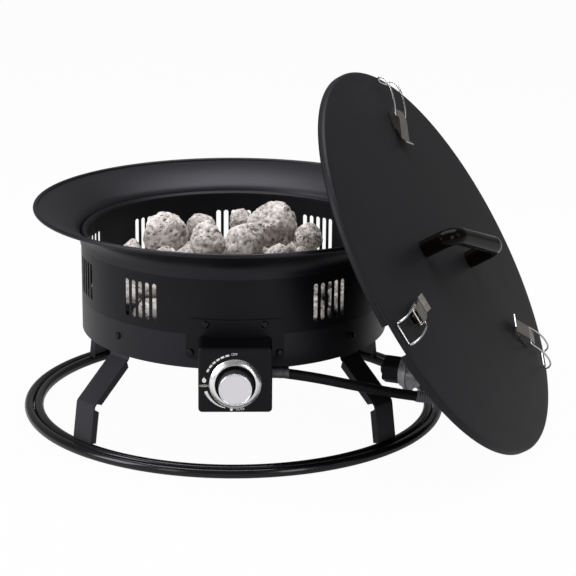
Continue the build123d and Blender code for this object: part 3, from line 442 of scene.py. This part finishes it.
dash_count, dash_first, dash_pitch, dash_sweep, dash_steps = 6, 101.5, 9.4, 7.0, 8
dash_outside, dash_inside = 0.0396, 0.0371
dashes = []
for k in range(dash_count):
    first = dash_first + k * dash_pitch
    sweep = [first + dash_sweep * t / dash_steps for t in range(dash_steps + 1)]
    outer_edge = [ink_point(dash_outside, angle) for angle in sweep]
    inner_edge = [ink_point(dash_inside, angle) for angle in reversed(sweep)]
    dashes.append(outer_edge + inner_edge)
print_shape("scale_dashes", dashes)
wedge_first, wedge_sweep, wedge_steps = 194.0, 54.0, 32
wedge_radius, wedge_drift, wedge_half, wedge_thinning = 0.0379, 0.0045, 0.0019, 0.0014
outer_edge, inner_edge = [], []
for k in range(wedge_steps + 1):
    t = k / wedge_steps
    middle, half = wedge_radius - wedge_drift * t, wedge_half - wedge_thinning * t
    angle = wedge_first + wedge_sweep * t
    outer_edge.append(ink_point(middle + half, angle))
    inner_edge.append(ink_point(middle - half, angle))
print_shape("scale_wedge", [outer_edge + inner_edge[::-1]])


def flame(x, z, size):
    """A drop with a forked tip."""
    shape = [
        (0.0, 1.0), (-0.22, 0.55), (-0.42, 0.62), (-0.62, 0.1), (-0.55, -0.45), (-0.25, -0.8), (0.25, -0.8),
        (0.58, -0.45), (0.62, 0.05), (0.42, 0.5), (0.28, 0.3)]
    return [(x + size * u, ink_face, z + size * v) for u, v in shape]


high_flame = flame(-0.0386, knob_height + 0.0054, 0.0042)
low_flame = flame(-0.0048, knob_height - 0.0326, 0.0030)
print_shape("scale_flames", [high_flame, low_flame])
letter_height = 0.0046
for word, x, z in (("OFF", -0.0012, 0.0386), ("HIGH", -0.0386, -0.0022), ("LOW", 0.0062, -0.0328)):
    letters = bpy.data.curves.new("letters_" + word.lower(), "FONT")
    letters.body = word
    letters.size = letter_height
    letters.align_x = letters.align_y = "CENTER"
    letters.extrude = ink_depth / 2
    holder = bpy.data.objects.new("letters", letters)
    bpy.context.scene.collection.objects.link(holder)
    holder.matrix_world = Matrix.Translation((x, ink_face, knob_height + z)) @ Matrix.Rotation(pi / 2, 4, "X")
    bpy.context.view_layer.update()
    mesh = bpy.data.meshes.new_from_object(holder.evaluated_get(bpy.context.evaluated_depsgraph_get()))
    mesh.transform(holder.matrix_world)
    mesh.materials.clear()
    mesh.materials.append(white_ink)
    printed = bpy.data.objects.new("scale_word_" + word.lower(), mesh)
    bpy.context.scene.collection.objects.link(printed)
    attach(printed, "fire_pit")
    bpy.data.objects.remove(holder)

# Gas hose: rubber hose about 13 mm thick, cured in a wrap that leaves its matte skin slightly uneven.
# It leaves the box's inlet fitting, passes the leg and turns back to the regulator under the lid.
hose_radius = 0.0065
regulator_port = Vector((0.261, 0.0, 0.0417))
outlet_turn = radians(-25.0)
outlet_way = Vector((cos(outlet_turn), sin(outlet_turn), 0.0))
ferrule_mouth, last_bend = 0.045, 0.091
hose_points = [
    Vector((0.0540, -0.2200, 0.1185)), Vector((0.0920, -0.2200, 0.1135)), Vector((0.1500, -0.2110, 0.0980)),
    Vector((0.2184, -0.1963, 0.0795)), Vector((0.3099, -0.1867, 0.0660)), Vector((0.3515, -0.1627, 0.0440)),
    Vector((0.3731, -0.1221, 0.0320)), Vector((0.3699, -0.0762, 0.0320)),
    regulator_port + outlet_way * last_bend, regulator_port + outlet_way * ferrule_mouth]


def cord_curve(name, points, radius):
    """A round cord on one smooth spline."""
    line = bpy.data.curves.new(name, "CURVE")
    line.dimensions = "3D"
    line.resolution_u = 24
    line.bevel_depth = radius
    line.bevel_resolution = 8
    line.use_fill_caps = True
    spline = line.splines.new("NURBS")
    spline.points.add(len(points) - 1)
    for spot, point in zip(spline.points, points):
        spot.co = (*point, 1.0)
    spline.order_u = 3
    spline.use_endpoint_u = True
    made = bpy.data.objects.new(name, line)
    bpy.context.scene.collection.objects.link(made)
    return made


hose = cord_curve("gas_hose_run", hose_points, hose_radius)
hose_rubber = coat_or_moulding(
    "wrapped_black_rubber", "#121213", "#1b1b1c", rough=(0.45, 0.6), cloud_mm=18, peel_mm=1.1,
    peel_depth=0.3, shine=0.15)
hose.data.materials.append(hose_rubber)
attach(hose, "fire_pit")
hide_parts("gas_hose")

# Hose sleeve: a ribbed guard moulded in grey plastic and slid over the hose where it goes in under the lid.
# It follows points read from the hose's own line, and its half gloss picks out the ribs.
guide = cord_curve("hose_guide", hose_points, 0.0)
bpy.context.view_layer.update()
guide_mesh = bpy.data.meshes.new_from_object(guide.evaluated_get(bpy.context.evaluated_depsgraph_get()))
sleeve_start, sleeve_end, front_stretch = 0.228, 0.262, -0.17
sleeve_run = [
    vert.co.copy() for vert in guide_mesh.vertices
    if sleeve_start < vert.co.x < sleeve_end and vert.co.y < front_stretch]
bpy.data.objects.remove(guide)
sleeve_radius, rib_depth, sleeve_sides, rib_parts = 0.0074, 0.0005, 32, 4
tuck_share = 0.98
verts, faces = [], []
sleeve_rings = (len(sleeve_run) - 1) * rib_parts
for k in range(sleeve_rings):
    here, after = sleeve_run[k // rib_parts], sleeve_run[k // rib_parts + 1]
    ahead = (after - here).normalized()
    beside = ahead.cross(Vector((0, 0, 1))).normalized()
    above = beside.cross(ahead)
    middle = here.lerp(after, k % rib_parts / rib_parts)
    if 0 < k < sleeve_rings - 1:
        radius = sleeve_radius + rib_depth * cos(2 * pi * k / rib_parts)
    else:
        radius = hose_radius * tuck_share
    for side in range(sleeve_sides):
        turn = 2 * pi * side / sleeve_sides
        verts.append(middle + (beside * cos(turn) + above * sin(turn)) * radius)
for k in range(sleeve_rings - 1):
    here, ahead = k * sleeve_sides, (k + 1) * sleeve_sides
    for side in range(sleeve_sides):
        after = (side + 1) % sleeve_sides
        faces.append((here + side, here + after, ahead + after, ahead + side))
faces.append(tuple(range(sleeve_sides)))
faces.append(tuple(reversed(range((sleeve_rings - 1) * sleeve_sides, sleeve_rings * sleeve_sides))))
sleeve_grey = coat_or_moulding(
    "ribbed_grey_sleeve", "#55555a", "#6d6d72", rough=(0.35, 0.5), cloud_mm=12, peel_mm=0.7, peel_depth=0.2)
sleeve = new_piece("hose_sleeve", verts, faces, sleeve_grey, "fire_pit")

# Inlet fitting, hose ferrules and the regulator's inlet nipple: steel turned or crimped to shape, then zinc
# plated. The plate has dulled to a mottled grey with a soft shine.
zinc_plate = worked_metal(
    "dull_zinc_plate", "#4c4c50", "#6a6a6e", rough=(0.35, 0.5), streak_mm=5, stretch=(1, 1, 1), depth=0.15)
dress(zinc_plate, "hose_inlet_fitting", "hose_ferrules", "regulator_inlet_nipple")

# Regulator: body and cover die cast in zinc and sprayed with silver lacquer. Its colour is painted pale and
# partly diffuse, a painted light that keeps it light even in the lid's shade.
# painted light: pale silver with a low metallic share, lit even in the lid's shade
lightened_silver_lacquer = coat_or_moulding(
    "lightened_silver_lacquer", "#cfcfd4", "#ececef", rough=(0.24, 0.36), cloud_mm=9, peel_mm=0.7, peel_depth=0.2,
    coat=0.2)
lit_diffuse_share = 0.35
lightened_silver_lacquer.node_tree.nodes["Principled BSDF"].inputs["Metallic"].default_value = lit_diffuse_share
dress(lightened_silver_lacquer, "regulator_body", "regulator_cover")

# Coupling nut: a lobed handwheel moulded in dark grey rubbery nylon, which turns on the regulator's inlet
# nipple. Its matt skin has a fine grain and no sharp highlight.
soft_nylon = coat_or_moulding(
    "soft_grey_nylon", "#232326", "#2d2d30", rough=(0.5, 0.62), cloud_mm=25, peel_mm=0.6, peel_depth=0.3)
dress(soft_nylon, "coupling_nut")

# Lid: a slightly domed disc pressed from 1.5 mm steel, with a turned-down skirt that is notched at the
# latches. Its heat-proof paint is the bowl's in a greyer black, and spreads the lamps to a wide dim sheen.
lid_paint = coat_or_moulding(
    "heat_proof_black_lid_paint", "#171719", "#1d1d1f", rough=(0.42, 0.5), cloud_mm=160, peel_mm=0.8,
    peel_depth=0.12, shine=0.18)
lid_centre = Vector((0.268517, -0.108407, 0.235899))
lid_way = Vector((0.80235963, -0.30158716, 0.51503807))
lid_turn = radians(20.6)
lid_across = Vector((sin(lid_turn), cos(lid_turn), 0.0))
lid_up = lid_way.cross(lid_across)
lid_radius, lid_corner, lid_skirt, lid_dome, lid_sheet = 0.2695, 0.0040, 0.0095, 0.0067, 0.0015
plate_radius = lid_radius - lid_corner
dome_radius = (plate_radius ** 2 + lid_dome ** 2) / (2 * lid_dome)
latch_angles = (67.0, 187.0, 307.0)
notch_half, notch_rings = 4.3, 4
plate_steps, corner_steps, skirt_steps, lid_steps = 24, 6, 3, 720


def dome_height(reach):
    """Height of the lid's dome over its edge, at a distance from its middle."""
    return sqrt(dome_radius ** 2 - reach ** 2) - dome_radius + lid_dome


profile = []
for k in range(1, plate_steps + 1):
    reach = plate_radius * k / plate_steps
    profile.append((reach, dome_height(reach)))
for k in range(1, corner_steps + 1):
    turn = pi / 2 * k / corner_steps
    profile.append((plate_radius + lid_corner * sin(turn), lid_corner * (cos(turn) - 1)))
notch_start = len(profile) - notch_rings
for k in range(1, skirt_steps + 1):
    profile.append((lid_radius, -lid_corner - (lid_skirt - lid_corner) * k / skirt_steps))
verts, faces = [lid_centre + lid_way * lid_dome], []
for reach, height in profile:
    for k in range(lid_steps):
        angle = 2 * pi * k / lid_steps
        verts.append(lid_centre + (lid_across * cos(angle) + lid_up * sin(angle)) * reach + lid_way * height)
for k in range(lid_steps):
    after = (k + 1) % lid_steps
    faces.append((0, 1 + k, 1 + after))
    notched = any(abs((k + 0.5) * 360 / lid_steps - angle) < notch_half for angle in latch_angles)
    for ring in range(notch_start if notched else len(profile) - 1):
        here, ahead = 1 + ring * lid_steps, 1 + (ring + 1) * lid_steps
        faces.append((here + k, ahead + k, ahead + after, here + after))
lid = new_piece("lid_pressing", verts, faces, lid_paint, "lid")
sheet = lid.modifiers.new("sheet", "SOLIDIFY")
sheet.thickness = lid_sheet
sheet.offset = -1.0
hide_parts("lid_plate")

# Lid handle: a round bar bent to a bridge and screwed on from below, in thick gloss black enamel.
# The enamel is glassy, like a piano lacquer, so it shows thin sharp streaks on near black.
handle_enamel = coat_or_moulding(
    "gloss_black_enamel", "#060502", "#0d0b06", rough=(0.06, 0.1), cloud_mm=40, peel_mm=3.0, peel_depth=0.05,
    shine=0.07)
dress(handle_enamel, "lid_handle")

# Latches: three over-centre catches folded from zinc plated steel and riveted to the lid, each lever on its
# pin. The bright plate has a slight milky haze, and the levers' cut edges are rolled over.
bright_zinc = worked_metal(
    "bright_zinc_plate", "#b0aba6", "#beb9b4", rough=(0.20, 0.26), streak_mm=7, stretch=(1, 1, 1), depth=0.04)
edge_roll, edge_angle = 0.0006, radians(40)
for number in (1, 2, 3):
    dress(bright_zinc, f"latch_{number}_base", f"latch_{number}_lever")
    rolled = nodes[f"latch_{number}_lever"].modifiers.new("rolled_edge", "BEVEL")
    rolled.width, rolled.segments = edge_roll, 3
    rolled.limit_method, rolled.angle_limit = "ANGLE", edge_angle
dress(bright_zinc, "latch_pins", "latch_rivets", "handle_screws")

# Latch bails: loops of spring steel wire, bent cold, hooked into the levers and bowed over the lid towards
# its edge. The wire was drawn bright, so it shows a sharp line of light along its length.
drawn_wire = worked_metal(
    "bright_drawn_wire", "#c2c2c4", "#e3e3e4", rough=(0.12, 0.2), streak_mm=2, stretch=(1, 1, 1), depth=0.08)
latch_radius = 0.208
wire_radius = 0.0013
seat_x, seat_z = -0.0080, 0.0104
half_wire = [
    (seat_x, 0.0100, seat_z), (seat_x, 0.0140, seat_z), (-0.0070, 0.0150, 0.0112), (0.0070, 0.0155, 0.0150),
    (0.0280, 0.0155, 0.0168), (0.0455, 0.0155, 0.0130), (0.0500, 0.0155, 0.0040), (0.0455, 0.0130, 0.0016),
    (0.0450, 0.0060, 0.0016)]
wire_line = half_wire + [(x, -y, z) for x, y, z in reversed(half_wire)]
bail_lifts = (5.0, 0.0, 0.6)
slope = asin(latch_radius / dome_radius)
for number, (angle, lift) in enumerate(zip(latch_angles, bail_lifts), start=1):
    out = lid_across * cos(radians(angle)) + lid_up * sin(radians(angle))
    foot = lid_centre + out * latch_radius + lid_way * dome_height(latch_radius)
    ahead = out * cos(slope) - lid_way * sin(slope)
    above = lid_way * cos(slope) + out * sin(slope)
    beside = above.cross(ahead)
    swing_x = ahead * cos(radians(lift)) + above * sin(radians(lift))
    swing_z = above * cos(radians(lift)) - ahead * sin(radians(lift))
    seat = foot + ahead * seat_x + above * seat_z
    run = [seat + swing_x * (x - seat_x) + beside * y + swing_z * (z - seat_z) for x, y, z in wire_line]
    wire = cord_curve(f"latch_{number}_wire", run, wire_radius)
    wire.data.materials.append(drawn_wire)
    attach(wire, f"latch_{number}_bail")
    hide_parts(f"latch_{number}_bail")

# Studio floor: a sheet of matt white paper. To the camera it is nearly all glow, which leaves the object's
# shadow faint, and in reflections it is dimmed, because the room that black paint mirrors is mostly dark.
floor_half = 6
glow_share, floor_mirrored = 0.97, 0.25
floor_mesh = bpy.data.meshes.new("studio_floor")
floor_corners = [
    (-floor_half, -floor_half, 0), (floor_half, -floor_half, 0), (floor_half, floor_half, 0),
    (-floor_half, floor_half, 0)]
floor_mesh.from_pydata(floor_corners, [], [(0, 1, 2, 3)])
floor = bpy.data.objects.new("studio_floor", floor_mesh)
bpy.context.scene.collection.objects.link(floor)
white_sweep, tree, shader, _ = start_finish("white_sweep")
shader.inputs["Base Color"].default_value = linear("#c8c8c8")
shader.inputs["Roughness"].default_value = 0.9
seen = add_node(tree, "ShaderNodeLightPath")
mirrored = add_node(tree, "ShaderNodeMath", {
    0: seen.outputs["Is Glossy Ray"], 1: floor_mirrored, 2: seen.outputs["Is Transmission Ray"]},
    operation="MULTIPLY_ADD")
viewed = add_node(tree, "ShaderNodeMath", {
    0: seen.outputs["Is Camera Ray"], 1: mirrored.outputs["Value"]}, operation="MAXIMUM")
share = add_node(tree, "ShaderNodeMath", {0: viewed.outputs["Value"], 1: glow_share}, operation="MULTIPLY")
glow = add_node(tree, "ShaderNodeEmission", {"Color": (1, 1, 1, 1), "Strength": 1.0})
blend = add_node(tree, "ShaderNodeMixShader", {
    "Fac": share.outputs["Value"], 1: shader.outputs["BSDF"], 2: glow.outputs["Emission"]})
tree.links.new(blend.outputs["Shader"], tree.nodes["Material Output"].inputs["Surface"])
floor_mesh.materials.append(white_sweep)

# Studio air: the white backdrop and a weak even light. It is white to the camera, lights everything else at a
# small share of that, and is dim in reflections, as the floor is.
air_light, air_mirrored = 0.15, 0.08
world = bpy.data.worlds.new("studio_air")
bpy.context.scene.world = world
world.use_nodes = True
air = world.node_tree
seen = add_node(air, "ShaderNodeLightPath")
mirrored = add_node(air, "ShaderNodeMath", {
    0: seen.outputs["Is Glossy Ray"], 1: air_mirrored, 2: seen.outputs["Is Transmission Ray"]},
    operation="MULTIPLY_ADD")
viewed = add_node(air, "ShaderNodeMath", {
    0: seen.outputs["Is Camera Ray"], 1: mirrored.outputs["Value"]}, operation="MAXIMUM")
strength = add_node(air, "ShaderNodeMapRange", {
    "Value": viewed.outputs["Value"], "To Min": air_light, "To Max": 1.0})
backdrop = air.nodes["Background"]
backdrop.inputs["Color"].default_value = (1, 1, 1, 1)
air.links.new(strength.outputs["Result"], backdrop.inputs["Strength"])


# Studio lamps: five soft boxes, a wide strong one overhead, the next strongest to the left, and three weak
# ones to the right and in front. Their upright shapes show as tall soft streaks in the gloss coats.
def lamp(name, place, aim, width, height, power):
    """A soft rectangular studio lamp."""
    light = bpy.data.lights.new(name, "AREA")
    light.shape = "RECTANGLE"
    light.size, light.size_y, light.energy = width, height, power
    made = bpy.data.objects.new(name, light)
    made.location = place
    made.rotation_euler = (Vector(aim) - Vector(place)).to_track_quat("-Z", "Y").to_euler()
    bpy.context.scene.collection.objects.link(made)


lamp("overhead_lamp", (0.0, 0.2, 2.4), (0, 0, 0.2), width=2.4, height=1.6, power=62)
lamp("left_lamp", (-2.2, -1.0, 1.3), (0, 0, 0.2), width=1.0, height=1.8, power=37)
lamp("right_lamp", (2.4, -1.2, 1.4), (0.2, 0, 0.2), width=0.8, height=1.6, power=6)
lamp("front_right_lamp", (1.3, -2.3, 0.9), (0, -0.2, 0.15), width=0.6, height=1.4, power=14)
lamp("front_left_lamp", (-1.5, -2.3, 0.9), (0, -0.2, 0.15), width=0.5, height=1.4, power=7)

# Camera: the photograph's own viewpoint, looking down at the pit from the front. Its lens is given in pixels
# of the square frame, and its turns in radians.
lens_px, frame_px = 2034.5386, 576
viewpoint = Vector((-0.0147798, -2.6350982, 0.9383247))
yaw, pitch, roll = 0.0331, 0.2856, 0.0094
forward = Vector((sin(yaw) * cos(pitch), cos(yaw) * cos(pitch), -sin(pitch)))
level = Vector((cos(yaw), -sin(yaw), 0.0))
upward = level.cross(forward)
right = level * cos(roll) + upward * sin(roll)
top = upward * cos(roll) - level * sin(roll)
camera = bpy.data.objects.new("camera", bpy.data.cameras.new("camera"))
camera.data.sensor_width = 36.0
camera.data.lens = lens_px / frame_px * camera.data.sensor_width
camera.data.clip_end = 100.0
camera.matrix_world = Matrix((
    (right.x, top.x, -forward.x, viewpoint.x),
    (right.y, top.y, -forward.y, viewpoint.y),
    (right.z, top.z, -forward.z, viewpoint.z),
    (0.0, 0.0, 0.0, 1.0)))
bpy.context.scene.collection.objects.link(camera)
bpy.context.scene.camera = camera
bpy.context.scene.view_settings.view_transform = "Standard"
